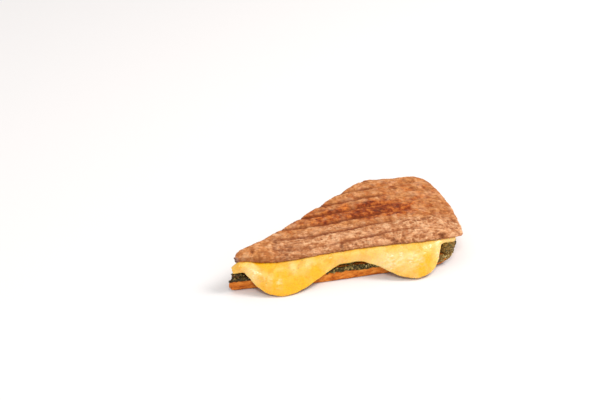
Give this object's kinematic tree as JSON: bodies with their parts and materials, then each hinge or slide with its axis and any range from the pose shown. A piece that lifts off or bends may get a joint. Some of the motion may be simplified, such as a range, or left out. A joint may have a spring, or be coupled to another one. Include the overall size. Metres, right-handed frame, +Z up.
{
  "type": "cheese sandwich",
  "caption": "Slant-cut half of a pressed, toasted sandwich with melted cheese and green herb paste running out over its crust; lies flat on its base.",
  "frame": {"origin": "on the table under the middle of the whole half", "axes": "+X runs along the long crust side towards the blunt end, +Y across to the short crust side, +Z up"},
  "size_m": [0.1828, 0.124, 0.0291],
  "materials": {
    "toasted_bread": "dry toasted bread, pressed and slightly rough",
    "melted_cheese": "melted yellow cheese, smooth with a soft oily gloss",
    "green_pesto": "dark green herb paste, coarse and oily",
    "bread_crust": "browned crust with a dry porous crumb at the cut"
  },
  "bodies": {
    "root": {"bread_top": "toasted_bread", "cheese": "melted_cheese", "pesto": "green_pesto", "bread_bottom": "bread_crust"}
  },
  "joints": []
}
